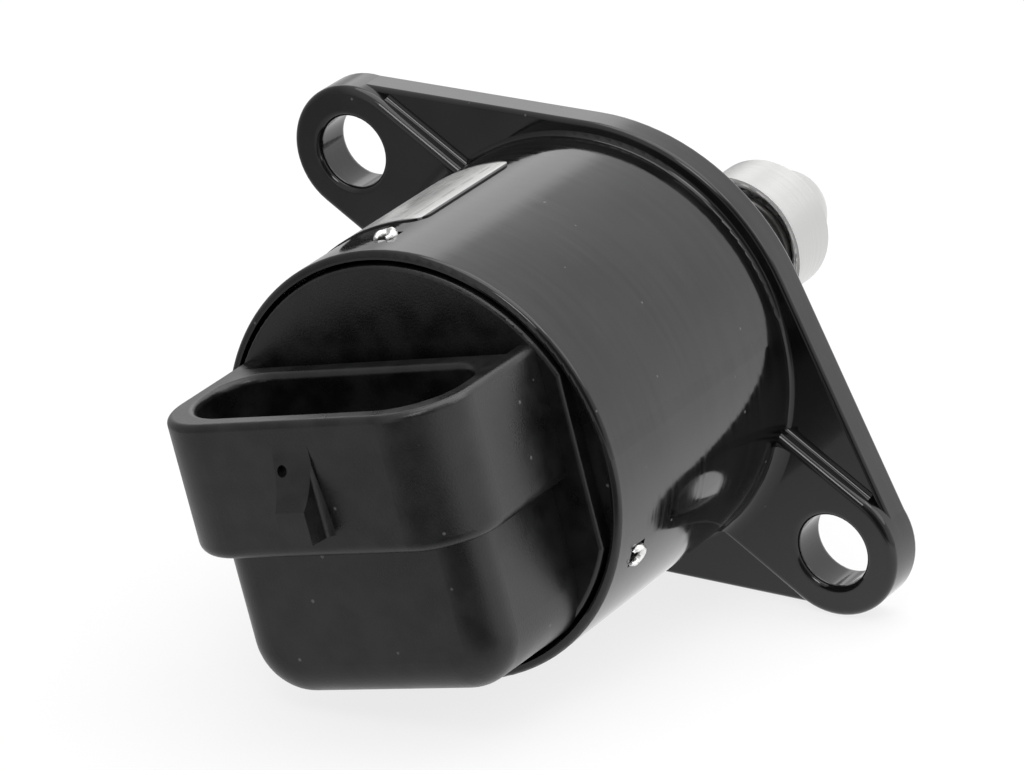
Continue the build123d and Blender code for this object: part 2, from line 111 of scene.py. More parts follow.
def mix_colour(tree, factor, first, second):
    """Blend two colours, each given as a colour or a socket."""
    inputs = {0: factor}
    for index, value in ((6, first), (7, second)):
        inputs[index] = value if isinstance(value, bpy.types.NodeSocket) else (*value, 1.0)
    return add_node(tree, "ShaderNodeMix", inputs, data_type="RGBA").outputs[2]


class Finish:
    """A material under construction, whose patterns lie on Object coordinates counted in millimetres."""

    def __init__(self, name, **constants):
        self.material = bpy.data.materials.new(name)
        self.material.use_nodes = True
        self.tree = self.material.node_tree
        self.shader = self.tree.nodes["Principled BSDF"]
        for socket, value in constants.items():
            self.shader.inputs[socket.replace("_", " ").title().replace("Ior", "IOR")].default_value = value
        coordinates = add_node(self.tree, "ShaderNodeTexCoord").outputs["Object"]
        self.place = add_node(
            self.tree, "ShaderNodeVectorMath", {0: coordinates, "Scale": 1 / MM}, operation="SCALE"
        ).outputs[0]
        parts = add_node(self.tree, "ShaderNodeSeparateXYZ", {0: self.place})
        self.x, self.y, self.z = parts.outputs

    def link(self, socket, value):
        """Feed one of the shader's inputs."""
        self.tree.links.new(value, self.shader.inputs[socket])

    def calc(self, operation, *values):
        """Add a Math node."""
        return math_node(self.tree, operation, *values)

    def remap(self, *values, **options):
        """Add a Map Range node."""
        return remap(self.tree, *values, **options)

    def mix(self, factor, first, second):
        """Add a blend of two colours."""
        return mix_colour(self.tree, factor, first, second)

    def radius(self):
        """Distance from the valve's axis."""
        across = self.calc("MULTIPLY", self.x, self.x)
        return self.calc("SQRT", self.calc("MULTIPLY_ADD", self.z, self.z, across))

    def angle(self):
        """Angle about the valve's axis, from +Z towards +X."""
        return self.calc("ARCTAN2", self.x, self.z)

    def stretched(self, across, along, up):
        """The place with each axis drawn out, so that a pattern on it becomes streaks."""
        return add_node(
            self.tree, "ShaderNodeVectorMath", {0: self.place, 1: (1 / across, 1 / along, 1 / up)},
            operation="MULTIPLY",
        ).outputs[0]

    def round_axis(self, along, turn):
        """A place that follows the turned surface: stations along the axis and angle round it."""
        return add_node(
            self.tree,
            "ShaderNodeCombineXYZ",
            {0: self.calc("DIVIDE", self.y, along), 1: self.calc("MULTIPLY", self.angle(), turn)},
        ).outputs[0]

    def noise(self, size, detail=2.0, place=None):
        """Cloudy noise whose patches are about one size across."""
        return add_node(
            self.tree,
            "ShaderNodeTexNoise",
            {"Vector": place or self.place, "Scale": 1 / size, "Detail": detail},
        ).outputs["Fac"]

    def specks(self, spacing, size, share):
        """Small round specks of dust on a share of the cells of a loose grid."""
        cells = add_node(self.tree, "ShaderNodeTexVoronoi", {"Vector": self.place, "Scale": 1 / spacing})
        near = self.remap(cells.outputs["Distance"], size / spacing, 0.4 * size / spacing)
        chance = add_node(self.tree, "ShaderNodeSeparateColor", {0: cells.outputs["Color"]}).outputs[0]
        return self.calc("MULTIPLY", near, self.calc("LESS_THAN", chance, share))

    def bump(self, height, depth, under=None):
        """Raise the surface by a height from 0 to 1, times a depth in millimetres."""
        inputs = {"Height": height, "Distance": depth * MM, "Strength": 1.0}
        if under:
            inputs["Normal"] = under
        return add_node(self.tree, "ShaderNodeBump", inputs).outputs["Normal"]


def paint_nodes(material, *names):
    """Give solids their material."""
    for name in names:
        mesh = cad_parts[name].data
        mesh.materials.clear()
        mesh.materials.append(material)


# Settings that a user would change

class ValveColours(bpy.types.PropertyGroup):
    """Colours of the finishes"""

    paint: FloatVectorProperty(
        name="Paint", description="Gloss paint on the casting", subtype="COLOR",
        default=(0.0028, 0.0028, 0.0029), min=0, max=1,
    )
    plastic: FloatVectorProperty(
        name="Plastic", description="Moulded end cap", subtype="COLOR",
        default=(0.0036, 0.0036, 0.0037), min=0, max=1,
    )
    bare_metal: FloatVectorProperty(
        name="Bare metal", description="Casting torn up round the stakes", subtype="COLOR",
        default=(0.80, 0.80, 0.79), min=0, max=1,
    )
    foil: FloatVectorProperty(
        name="Foil", description="Silver label", subtype="COLOR",
        default=(0.72, 0.72, 0.71), min=0, max=1,
    )
    plug: FloatVectorProperty(
        name="Plug", description="Turned valve plug", subtype="COLOR",
        default=(0.46, 0.46, 0.455), min=0, max=1,
    )
    dust: FloatVectorProperty(
        name="Dust", description="Specks on paint and plastic", subtype="COLOR",
        default=(0.08, 0.08, 0.078), min=0, max=1,
    )


class ValveDetails(bpy.types.PropertyGroup):
    """Sizes of the details"""

    spring_wire: FloatProperty(
        name="Spring wire", description="Diameter of the spring's wire", unit="LENGTH", default=0.8 * MM,
    )
    spring_turns: FloatProperty(name="Spring turns", description="Turns from end to end", default=6.5)
    thread_pitch: FloatProperty(
        name="Thread pitch", description="Advance of the lead screw for one turn", unit="LENGTH",
        default=1.0 * MM,
    )
    thread_depth: FloatProperty(
        name="Thread depth", description="Crest to root of the lead screw", unit="LENGTH",
        default=0.45 * MM,
    )
    flat_start: FloatProperty(
        name="Flats start", description="Station where the lead screw's flats begin", unit="LENGTH",
        default=-0.2 * MM,
    )
    flat_end: FloatProperty(
        name="Flats end", description="Station where the flats end and the stem begins", unit="LENGTH",
        default=13.5 * MM,
    )
    flat_height: FloatProperty(
        name="Flat height", description="Axis to each flat", unit="LENGTH", default=1.6 * MM,
    )
    stem_radius: FloatProperty(
        name="Stem radius", description="Lead screw inside the plug", unit="LENGTH", default=1.7 * MM,
    )
    can_radius: FloatProperty(
        name="Can radius", description="Outside of the can", unit="LENGTH", default=16 * MM,
    )
    stake_count: IntProperty(name="Stakes", description="Places where the cap is staked", default=3)
    stake_size: FloatProperty(
        name="Stake size", description="Side of the punched square", unit="LENGTH", default=1.7 * MM,
    )
    stake_gap: FloatProperty(
        name="Stake gap", description="Part of a stake's rim left open towards the mouth", subtype="ANGLE",
        default=math.radians(100),
    )
    stake_setback: FloatProperty(
        name="Stake setback", description="From the can's mouth to the stakes", unit="LENGTH",
        default=3.2 * MM,
    )
    stake_burr: FloatProperty(
        name="Stake burr", description="Width of the upset metal round a stake", unit="LENGTH",
        default=0.55 * MM,
    )
    # The cup rim's bright edge is a painted highlight; the same width also sets where the cup's inside
    # begins.
    cup_rim: FloatProperty(
        name="Cup rim", description="Bright edge left round the plug's dark inside", unit="LENGTH",
        default=0.2 * MM,
    )
    # Width of the painted shadow along the label's edges.
    label_edge_shadow: FloatProperty(
        name="Label frame", description="Dark edge printed round the label", unit="LENGTH",
        default=0.3 * MM,
    )


class ValveStage(bpy.types.PropertyGroup):
    """Camera, floor and light"""

    lens: FloatProperty(name="Lens", description="Focal length", unit="CAMERA", default=202.22)
    aim: FloatVectorProperty(
        name="Aim", description="Point in the middle of the picture", subtype="TRANSLATION", unit="LENGTH",
        default=(-6.23 * MM, -5.18 * MM, -1.78 * MM),
    )
    distance: FloatProperty(name="Distance", description="Camera to aim", unit="LENGTH", default=417.94 * MM)
    azimuth: FloatProperty(
        name="Azimuth", description="Camera round the valve", subtype="ANGLE", default=math.radians(36.17),
    )
    elevation: FloatProperty(
        name="Elevation", description="Camera above the valve's own level", subtype="ANGLE",
        default=math.radians(15.87),
    )
    roll: FloatProperty(
        name="Roll", description="Camera about its own view", subtype="ANGLE", default=math.radians(-14.36),
    )
    floor_up: FloatVectorProperty(
        name="Floor up", description="Upward direction of the floor that the valve lies on",
        subtype="DIRECTION", default=(0.226, 0.049, 0.973),
    )
    floor_reach: FloatProperty(
        name="Floor reach", description="Half of the floor's side", unit="LENGTH", default=0.6,
    )
    backlight: FloatProperty(
        name="Backlight", description="Level of the tent behind the valve", default=1.5,
    )
    glow: FloatProperty(
        name="Glow", description="Added level of the tent's bright panel, up behind the valve", default=0.88,
    )
    opening: FloatProperty(
        name="Opening", description="Level of the tent's opening on the camera's side", default=0.12,
    )
    seen_floor: FloatProperty(
        name="Seen floor", description="Share of plain white in the floor that the camera sees", default=0.8,
    )
    mirrored_floor: FloatProperty(
        name="Mirrored floor", description="Share of plain light in the floor's reflections", default=0.85,
    )
    floor_levels: FloatVectorProperty(
        name="Floor levels", description="Light in the floor's reflections, left in front and right behind",
        size=2, default=(0.7, 1.5),
    )


# Finishes of the outside

def gloss_paint(colours):
    """Black stoving paint with faint orange peel and wiping marks."""
    finish = Finish("gloss_paint", ior=1.45)
    clouds = finish.noise(size=7.0, detail=3)
    streaks = finish.noise(size=1.0, detail=4, place=finish.round_axis(along=0.5, turn=1.6))
    dust = finish.specks(spacing=2.2, size=0.14, share=0.5)
    marks = finish.calc("MULTIPLY_ADD", clouds, 0.5, finish.calc("MULTIPLY", streaks, 0.5))
    colour = finish.mix(finish.remap(marks, 0.35, 0.65), shade(colours.paint, 0.7), shade(colours.paint, 3.0))
    finish.link("Base Color", finish.mix(dust, colour, colours.dust))
    rough = finish.remap(streaks, 0.35, 0.75, to_low=0.06, to_high=0.14)
    finish.link("Roughness", finish.calc("MULTIPLY_ADD", dust, 0.5, rough))
    peel = finish.bump(finish.noise(size=1.3), depth=0.003)
    finish.link("Normal", finish.bump(streaks, depth=0.003, under=peel))
    return finish.material


def moulded_plastic(colours):
    """Black glass-filled plastic with a fine spark-eroded grain and dust."""
    finish = Finish("moulded_plastic", specular_ior_level=0.45)
    clouds = finish.noise(size=2.2, detail=6)
    grain = finish.noise(size=0.16, detail=3)
    dust = finish.specks(spacing=2.0, size=0.18, share=0.3)
    cloudy = finish.remap(clouds, 0.35, 0.65)
    colour = finish.mix(cloudy, shade(colours.plastic, 0.7), shade(colours.plastic, 2.0))
    finish.link("Base Color", finish.mix(dust, colour, colours.dust))
    finish.link("Roughness", finish.remap(clouds, 0.3, 0.7, to_low=0.27, to_high=0.35))
    finish.link("Normal", finish.bump(grain, depth=0.012))
    return finish.material


def label_foil(colours, details):
    """Silver foil with fine rolling lines, a dark band painted round its edges as shadow, and faint plain
    bars.
    """
    finish = Finish("label_foil", anisotropic=0.3)
    lines = finish.noise(size=1.0, detail=3, place=finish.stretched(across=0.05, along=6.0, up=0.05))
    foil = finish.mix(lines, shade(colours.foil, 0.85), colours.foil)

    edge_shadow_width = details.label_edge_shadow / MM
    reach = LABEL_HIGH.z / MM
    first_edge = math.asin(LABEL_HIGH.x / LABEL_HIGH.z)
    last_edge = math.asin(LABEL_LOW.x / LABEL_HIGH.z)
    angle, y = finish.angle(), finish.y
    to_first = finish.calc("MULTIPLY", finish.calc("SUBTRACT", first_edge, angle), reach)
    to_last = finish.calc("MULTIPLY", finish.calc("SUBTRACT", angle, last_edge), reach)
    to_front = finish.calc("SUBTRACT", y, LABEL_LOW.y / MM)
    to_back = finish.calc("SUBTRACT", LABEL_HIGH.y / MM, y)
    inside = finish.calc("MINIMUM", to_first, to_last)
    inside = finish.calc("MINIMUM", inside, finish.calc("MINIMUM", to_front, to_back))
    # Painted shadow: a dark band of the given width along all the label's edges, standing for the shadow
    # under its edge.
    edge = finish.calc("LESS_THAN", inside, edge_shadow_width)

    row_pitch, half_bar, bar_length, margin = 2.1, 0.2, 1.3, 1.2
    row_shift = 3.7  # moves each row to its own stretch of the noise
    bar_threshold, bar_ink = 0.46, 0.35
    rows = finish.calc("DIVIDE", to_first, row_pitch)
    in_row = finish.calc("COMPARE", finish.calc("FRACT", rows), 0.5, half_bar)
    along_row = finish.calc("DIVIDE", y, bar_length)
    row = finish.calc("MULTIPLY", finish.calc("FLOOR", rows), row_shift)
    stops = add_node(finish.tree, "ShaderNodeCombineXYZ", {0: along_row, 1: row}).outputs[0]
    filled = finish.calc("GREATER_THAN", finish.noise(size=1.0, detail=0, place=stops), bar_threshold)
    bars = finish.calc("MULTIPLY", in_row, filled)
    bars = finish.calc("MULTIPLY", bars, finish.calc("GREATER_THAN", inside, margin))
    # The printed bars and the painted edge shadow share one mask here.
    print_and_edge_shadow = finish.calc("MAXIMUM", edge, finish.calc("MULTIPLY", bars, bar_ink))
    finish.link("Base Color", finish.mix(print_and_edge_shadow, foil, (0.008, 0.008, 0.008)))
    finish.link("Metallic", finish.remap(print_and_edge_shadow, 0, 1, to_low=0.9, to_high=0.0))
    finish.link("Roughness", finish.remap(lines, 0.3, 0.7, to_low=0.26, to_high=0.38))
    finish.link("Normal", finish.bump(finish.noise(size=2.5), depth=0.02))
    return finish.material


def turned_plug(colours, details):
    """Turned metal with fine tool rings, a pale lip painted as a highlight, and a dull, mottled inside to its
    cup.
    """
    finish = Finish("turned_plug", anisotropic=0.25)
    rings = finish.noise(size=1.0, detail=4, place=finish.stretched(across=400.0, along=0.35, up=400.0))
    fine = finish.noise(size=1.0, detail=2, place=finish.stretched(across=60.0, along=0.06, up=60.0))
    metal = finish.mix(rings, shade(colours.plug, 0.88), colours.plug)

    rim, rim_radius = PLUG_LOW.y / MM, PLUG_HIGH.x / MM
    flare, body_radius, cup_depth = 1.0, 5.2, 4.5
    rim_width = details.cup_rim / MM
    shell = finish.remap(finish.y, rim, rim + flare, rim_radius, body_radius, smooth=False)
    depth = finish.calc("SUBTRACT", shell, finish.radius())
    inside = finish.calc("GREATER_THAN", depth, rim_width)
    inside = finish.calc("MULTIPLY", inside, finish.calc("LESS_THAN", finish.y, rim + cup_depth))
    mottle = finish.remap(finish.noise(size=0.5, detail=4), 0.35, 0.65)
    oxide = finish.mix(mottle, (0.40, 0.40, 0.40), (0.95, 0.94, 0.93))
    # Painted highlight: the lip is painted pale and made mostly non-metallic, so the cup's rim shows a bright
    # line.
    lip = finish.calc("LESS_THAN", finish.y, rim + rim_width)
    metal_with_painted_lip_highlight = finish.mix(lip, metal, (0.7, 0.7, 0.69))
    finish.link("Base Color", finish.mix(inside, metal_with_painted_lip_highlight, oxide))
    # The lip's share of this dullness belongs to the painted highlight.
    dull = finish.calc("MAXIMUM", inside, finish.calc("MULTIPLY", lip, 0.7))
    finish.link("Metallic", finish.calc("SUBTRACT", 1.0, dull))
    rough = finish.remap(rings, 0.3, 0.7, to_low=0.30, to_high=0.42)
    finish.link("Roughness", finish.calc("MULTIPLY_ADD", inside, 0.3, rough))
    finish.link("Normal", finish.bump(fine, depth=0.006, under=finish.bump(rings, depth=0.02)))
    return finish.material


def rubber():
    """Moulded black rubber with a soft bloom."""
    finish = Finish("black_rubber", specular_ior_level=0.35, sheen_weight=0.1)
    bloom = finish.noise(size=1.5, detail=4)
    finish.link("Base Color", finish.mix(bloom, (0.012, 0.012, 0.012), (0.03, 0.03, 0.029)))
    finish.link("Roughness", finish.remap(bloom, 0.3, 0.7, to_low=0.5, to_high=0.68))
    finish.link("Normal", finish.bump(finish.noise(size=0.2), depth=0.01))
    return finish.material


def bare_casting(colours):
    """Torn bare casting metal round a stake."""
    finish = Finish("bare_casting", metallic=1.0)
    torn = finish.noise(size=0.35, detail=4)
    finish.link("Base Color", finish.mix(torn, shade(colours.bare_metal, 0.8), colours.bare_metal))
    finish.link("Roughness", finish.remap(torn, 0.3, 0.7, to_low=0.2, to_high=0.4))
    finish.link("Normal", finish.bump(torn, depth=0.05))
    return finish.material


# Finishes of the works

def metal_finish(name, colour, rough, grain=0.4, depth=0.006, stretch=None, metallic=1.0):
    """A worked metal: colour and gloss drift, and a tooled or rolled grain lies on it."""
    finish = Finish(name, metallic=metallic)
    drift = finish.noise(size=2.5, detail=3)
    place = finish.stretched(*stretch) if stretch else None
    tooling = finish.noise(grain, detail=3, place=place)
    finish.link("Base Color", finish.mix(drift, shade(colour, 0.85), colour))
    finish.link("Roughness", finish.remap(tooling, 0.3, 0.7, rough - 0.06, rough + 0.06))
    finish.link("Normal", finish.bump(tooling, depth))
    return finish.material


def plain_plastic(name, colour, rough):
    """A moulded inner part with slight flow marks."""
    finish = Finish(name, specular_ior_level=0.45)
    flow = finish.noise(size=3.0, detail=3)
    finish.link("Base Color", finish.mix(flow, shade(colour, 0.88), colour))
    finish.link("Roughness", finish.remap(flow, 0.3, 0.7, rough - 0.05, rough + 0.08))
    finish.link("Normal", finish.bump(finish.noise(size=0.2), depth=0.006))
    return finish.material


# Shapes made by Geometry Nodes

def shape_tree(name, sizes):
    """Start a geometry tree with a named input for each size; return it with its input sockets by name."""
    tree = bpy.data.node_groups.new(name, "GeometryNodeTree")
    tree.interface.new_socket("Geometry", in_out="OUTPUT", socket_type="NodeSocketGeometry")
    for label, value in sizes.items():
        kind = "NodeSocketInt" if isinstance(value, int) else "NodeSocketFloat"
        tree.interface.new_socket(label, in_out="INPUT", socket_type=kind)
    sockets = tree.nodes.new("NodeGroupInput").outputs
    return tree, {label: sockets[label] for label in sizes}


def end_tree(tree, geometry, material, crease=math.pi):
    """Close a geometry tree: smooth below the crease angle, realized and with its material."""
    bend = add_node(tree, "GeometryNodeInputMeshEdgeAngle").outputs["Unsigned Angle"]
    gentle = math_node(tree, "LESS_THAN", bend, crease)
    smooth = add_node(
        tree, "GeometryNodeSetShadeSmooth", {"Geometry": geometry, "Shade Smooth": gentle}, domain="EDGE"
    )
    real = add_node(tree, "GeometryNodeRealizeInstances", {"Geometry": smooth.outputs[0]})
    coated = add_node(tree, "GeometryNodeSetMaterial", {"Geometry": real.outputs[0], "Material": material})
    add_node(tree, "NodeGroupOutput", {"Geometry": coated.outputs[0]})


def piece_from_tree(context, name, tree, sizes):
    """Evaluate a geometry tree once and keep the result as a plain mesh."""
    piece = bpy.data.objects.new(name, bpy.data.meshes.new(name))
    context.scene.collection.objects.link(piece)
    modifier = piece.modifiers.new("Shape", "NODES")
    modifier.node_group = tree
    for item in tree.interface.items_tree:
        if item.in_out == "INPUT":
            modifier[item.identifier] = sizes[item.name]
    depsgraph = context.evaluated_depsgraph_get()
    mesh = bpy.data.meshes.new_from_object(piece.evaluated_get(depsgraph), depsgraph=depsgraph)
    piece.modifiers.clear()
    piece.data = mesh
    mesh.name = name
    if not mesh.polygons:
        raise RuntimeError(f"{name}: its geometry tree made no faces")
    return piece


class VALVE_OT_make_spring(bpy.types.Operator):
    """Wind the return spring with closed ends"""

    bl_idname = "valve.make_spring"
    bl_label = "Return spring"

    def execute(self, context):
        details = context.scene.valve_details
        wire = details.spring_wire
        length = SPRING_HIGH.y - SPRING_LOW.y
        points, sides = 400, 20
        first_rise, last_rise = 0.06, 0.94  # shares of the wire between the closed ends
        sizes = {
            "Wire": wire,
            "Coil Radius": (SPRING_HIGH.x - SPRING_LOW.x - wire) / 2,
            "Turns": details.spring_turns,
            "Start": SPRING_LOW.y + wire / 2,
            "Rise": length - wire,
        }
        tree, size = shape_tree("wound_spring", sizes)
        line = add_node(tree, "GeometryNodeCurvePrimitiveLine")
        fine = add_node(tree, "GeometryNodeResampleCurve", {"Curve": line.outputs[0], "Count": points})
        along = add_node(tree, "GeometryNodeSplineParameter").outputs["Factor"]
        turn = math_node(tree, "MULTIPLY", math_node(tree, "MULTIPLY", along, size["Turns"]), math.tau)
        risen = remap(tree, along, first_rise, last_rise, smooth=False)
        lift = math_node(tree, "MULTIPLY_ADD", risen, size["Rise"], size["Start"])
        across = math_node(tree, "MULTIPLY", math_node(tree, "SINE", turn), size["Coil Radius"])
        up = math_node(tree, "MULTIPLY", math_node(tree, "COSINE", turn), size["Coil Radius"])
        point = add_node(tree, "ShaderNodeCombineXYZ", {0: across, 1: lift, 2: up}).outputs[0]
        wound = add_node(tree, "GeometryNodeSetPosition", {"Geometry": fine.outputs[0], "Position": point})
        section = add_node(
            tree,
            "GeometryNodeCurvePrimitiveCircle",
            {"Resolution": sides, "Radius": math_node(tree, "MULTIPLY", size["Wire"], 0.5)},
        )
        swept = add_node(
            tree,
            "GeometryNodeCurveToMesh",
            {"Curve": wound.outputs[0], "Profile Curve": section.outputs[0], "Fill Caps": True},
        )
        steel = metal_finish("spring_steel", (0.12, 0.118, 0.115), 0.42, grain=0.3)
        end_tree(tree, swept.outputs[0], steel)
        piece = piece_from_tree(context, "return_spring", tree, sizes)
        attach(piece, "housing")
        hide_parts("spring")
        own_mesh(piece)
        return {"FINISHED"}


class VALVE_OT_make_screw(bpy.types.Operator):
    """Cut the thread, the flats and the stem of the lead screw"""

    bl_idname = "valve.make_screw"
    bl_label = "Lead screw"

    def execute(self, context):
        details = context.scene.valve_details
        rows, columns = 560, 48
        root_share, crest_share = 0.2, 0.8  # where the thread's flanks begin and end
        weld, crease = 0.001 * MM, math.radians(30)
        length = SCREW_HIGH.y - SCREW_LOW.y
        sizes = {
            "Start": SCREW_LOW.y,
            "Length": length,
            "Radius": SCREW_HIGH.x,
            "Pitch": details.thread_pitch,
            "Depth": details.thread_depth,
            "Flat Start": details.flat_start,
            "Flat End": details.flat_end,
            "Flat Height": details.flat_height,
            "Stem Radius": details.stem_radius,
        }
        tree, size = shape_tree("lead_screw", sizes)
        grid = add_node(
            tree,
            "GeometryNodeMeshGrid",
            {"Size X": 1.0, "Size Y": 1.0, "Vertices X": columns + 1, "Vertices Y": rows},
        )
        position = add_node(tree, "GeometryNodeInputPosition").outputs[0]
        place = add_node(tree, "ShaderNodeSeparateXYZ", {0: position})
        turn = math_node(tree, "MULTIPLY", place.outputs[0], -math.tau)
        share = math_node(tree, "ADD", place.outputs[1], 0.5)
        margin = 1.0 / (rows - 1)
        travelled = remap(tree, share, margin, 1 - margin, smooth=False)
        y = math_node(tree, "MULTIPLY_ADD", travelled, size["Length"], size["Start"])

        turned = math_node(tree, "DIVIDE", turn, math.tau)
        pitches = math_node(tree, "DIVIDE", y, size["Pitch"])
        phase = math_node(tree, "FRACT", math_node(tree, "SUBTRACT", pitches, turned))
        crest = math_node(tree, "ABSOLUTE", math_node(tree, "MULTIPLY_ADD", phase, 2.0, -1.0))
        root = remap(tree, crest, root_share, crest_share, to_low=1.0, to_high=0.0, smooth=False)
        before_flats = math_node(tree, "LESS_THAN", y, size["Flat Start"])
        cut = math_node(tree, "MULTIPLY", math_node(tree, "MULTIPLY", root, before_flats), size["Depth"])
        thread = math_node(tree, "SUBTRACT", size["Radius"], cut)
        on_stem = math_node(tree, "GREATER_THAN", y, size["Flat End"])
        step_depth = math_node(tree, "SUBTRACT", size["Radius"], size["Stem Radius"])
        step = math_node(tree, "MULTIPLY", on_stem, step_depth)
        within = math_node(tree, "COMPARE", share, 0.5, 0.5 - margin / 2)
        radius = math_node(tree, "MULTIPLY", within, math_node(tree, "SUBTRACT", thread, step))

        across = math_node(tree, "MULTIPLY", math_node(tree, "SINE", turn), radius)
        up = math_node(tree, "MULTIPLY", math_node(tree, "COSINE", turn), radius)
        lowered = math_node(tree, "MINIMUM", up, size["Flat Height"])
        lowered = math_node(tree, "MAXIMUM", lowered, math_node(tree, "MULTIPLY", size["Flat Height"], -1.0))
        up = mix_number(tree, before_flats, lowered, up)
        point = add_node(tree, "ShaderNodeCombineXYZ", {0: across, 1: y, 2: up}).outputs[0]
        shaped = add_node(tree, "GeometryNodeSetPosition", {"Geometry": grid.outputs[0], "Position": point})
        closed = add_node(
            tree, "GeometryNodeMergeByDistance", {"Geometry": shaped.outputs[0], "Distance": weld}
        )
        steel = metal_finish("screw_steel", (0.52, 0.52, 0.53), 0.26, stretch=(30.0, 0.2, 30.0), grain=1.0)
        end_tree(tree, closed.outputs[0], steel, crease)
        piece = piece_from_tree(context, "threaded_screw", tree, sizes)
        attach(piece, "pintle")
        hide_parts("lead_screw")
        return {"FINISHED"}


class VALVE_OT_make_burrs(bpy.types.Operator):
    """Raise a torn metal burr on three sides of each stake"""

    bl_idname = "valve.make_burrs"
    bl_label = "Stake burrs"

    def execute(self, context):
        details = context.scene.valve_details
        points, sides = 60, 14
        taper, end_width = 0.2, 0.5  # share of the rim that narrows at each end, and how far
        stretch = (1.0, 1.35, 1.5)  # round the can, along it and outwards
        tear_size = 0.7 * MM
        sizes = {
            "Count": details.stake_count,
            "Can Radius": details.can_radius,
            "Station": HOUSING_LOW.y + details.stake_setback,
            "Reach": (details.stake_size - details.stake_burr) / 2,
            "Width": details.stake_burr,
            "Gap": details.stake_gap,
            "Tear": 0.5 * details.stake_burr,
        }
        tree, size = shape_tree("stake_burrs", sizes)
        rim = add_node(
            tree,
            "GeometryNodeCurveArc",
            {
                "Resolution": points,
                "Radius": size["Reach"],
                "Start Angle": math_node(tree, "MULTIPLY_ADD", size["Gap"], 0.5, -math.pi / 2),
                "Sweep Angle": math_node(tree, "SUBTRACT", math.tau, size["Gap"]),
            },
        )
        along = add_node(tree, "GeometryNodeSplineParameter").outputs["Factor"]
        from_end = math_node(tree, "PINGPONG", along, 0.5)
        bead = add_node(
            tree,
            "GeometryNodeCurvePrimitiveCircle",
            {"Resolution": sides, "Radius": math_node(tree, "MULTIPLY", size["Width"], 0.5)},
        )
        ridge = add_node(
            tree,
            "GeometryNodeCurveToMesh",
            {
                "Curve": rim.outputs[0],
                "Profile Curve": bead.outputs[0],
                "Scale": remap(tree, from_end, 0.0, taper, to_low=end_width),
                "Fill Caps": True,
            },
        )
        index = add_node(tree, "GeometryNodeInputIndex").outputs[0]
        turn = math_node(tree, "MULTIPLY", math_node(tree, "DIVIDE", index, size["Count"]), math.tau)
        across = math_node(tree, "MULTIPLY", math_node(tree, "SINE", turn), size["Can Radius"])
        up = math_node(tree, "MULTIPLY", math_node(tree, "COSINE", turn), size["Can Radius"])
        set_back = math_node(tree, "MULTIPLY_ADD", size["Width"], -0.5, size["Station"])
        place = add_node(tree, "ShaderNodeCombineXYZ", {0: across, 1: set_back, 2: up}).outputs[0]
        stakes = add_node(tree, "GeometryNodePoints", {"Count": size["Count"], "Position": place})
        facing = add_node(tree, "ShaderNodeCombineXYZ", {1: turn}).outputs[0]
        burrs = add_node(
            tree,
            "GeometryNodeInstanceOnPoints",
            {
                "Points": stakes.outputs[0],
                "Instance": ridge.outputs[0],
                "Rotation": facing,
                "Scale": stretch,
            },
        )
        real = add_node(tree, "GeometryNodeRealizeInstances", {"Geometry": burrs.outputs[0]})
        noise = add_node(tree, "ShaderNodeTexNoise", {"Scale": 1 / tear_size, "Detail": 2.0})
        torn = math_node(tree, "MULTIPLY", math_node(tree, "SUBTRACT", noise.outputs[0], 0.5), size["Tear"])
        normal = add_node(tree, "GeometryNodeInputNormal").outputs[0]
        shift = add_node(tree, "ShaderNodeVectorMath", {0: normal, "Scale": torn}, operation="SCALE")
        rough = add_node(
            tree, "GeometryNodeSetPosition", {"Geometry": real.outputs[0], "Offset": shift.outputs[0]}
        )
        end_tree(tree, rough.outputs[0], bare_casting(context.scene.valve_colours))
        piece = piece_from_tree(context, "stake_burrs", tree, sizes)
        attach(piece, "housing")
        return {"FINISHED"}


class VALVE_OT_finish_casing(bpy.types.Operator):
    """Finish the casting, the end cap, the label, the seals and the terminals"""

    bl_idname = "valve.finish_casing"
    bl_label = "Casing"

    def execute(self, context):
        colours, details = context.scene.valve_colours, context.scene.valve_details
        paint_nodes(gloss_paint(colours), "housing")
        paint_nodes(moulded_plastic(colours), "end_cap")
        paint_nodes(label_foil(colours, details), "label")
        paint_nodes(rubber(), "o_ring", "cap_seal", "preload_ring")
        tin = metal_finish("tinned_brass", (0.66, 0.65, 0.62), 0.3, stretch=(0.2, 0.2, 3.0))
        paint_nodes(tin, *(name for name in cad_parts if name.startswith("terminal_")))
        return {"FINISHED"}


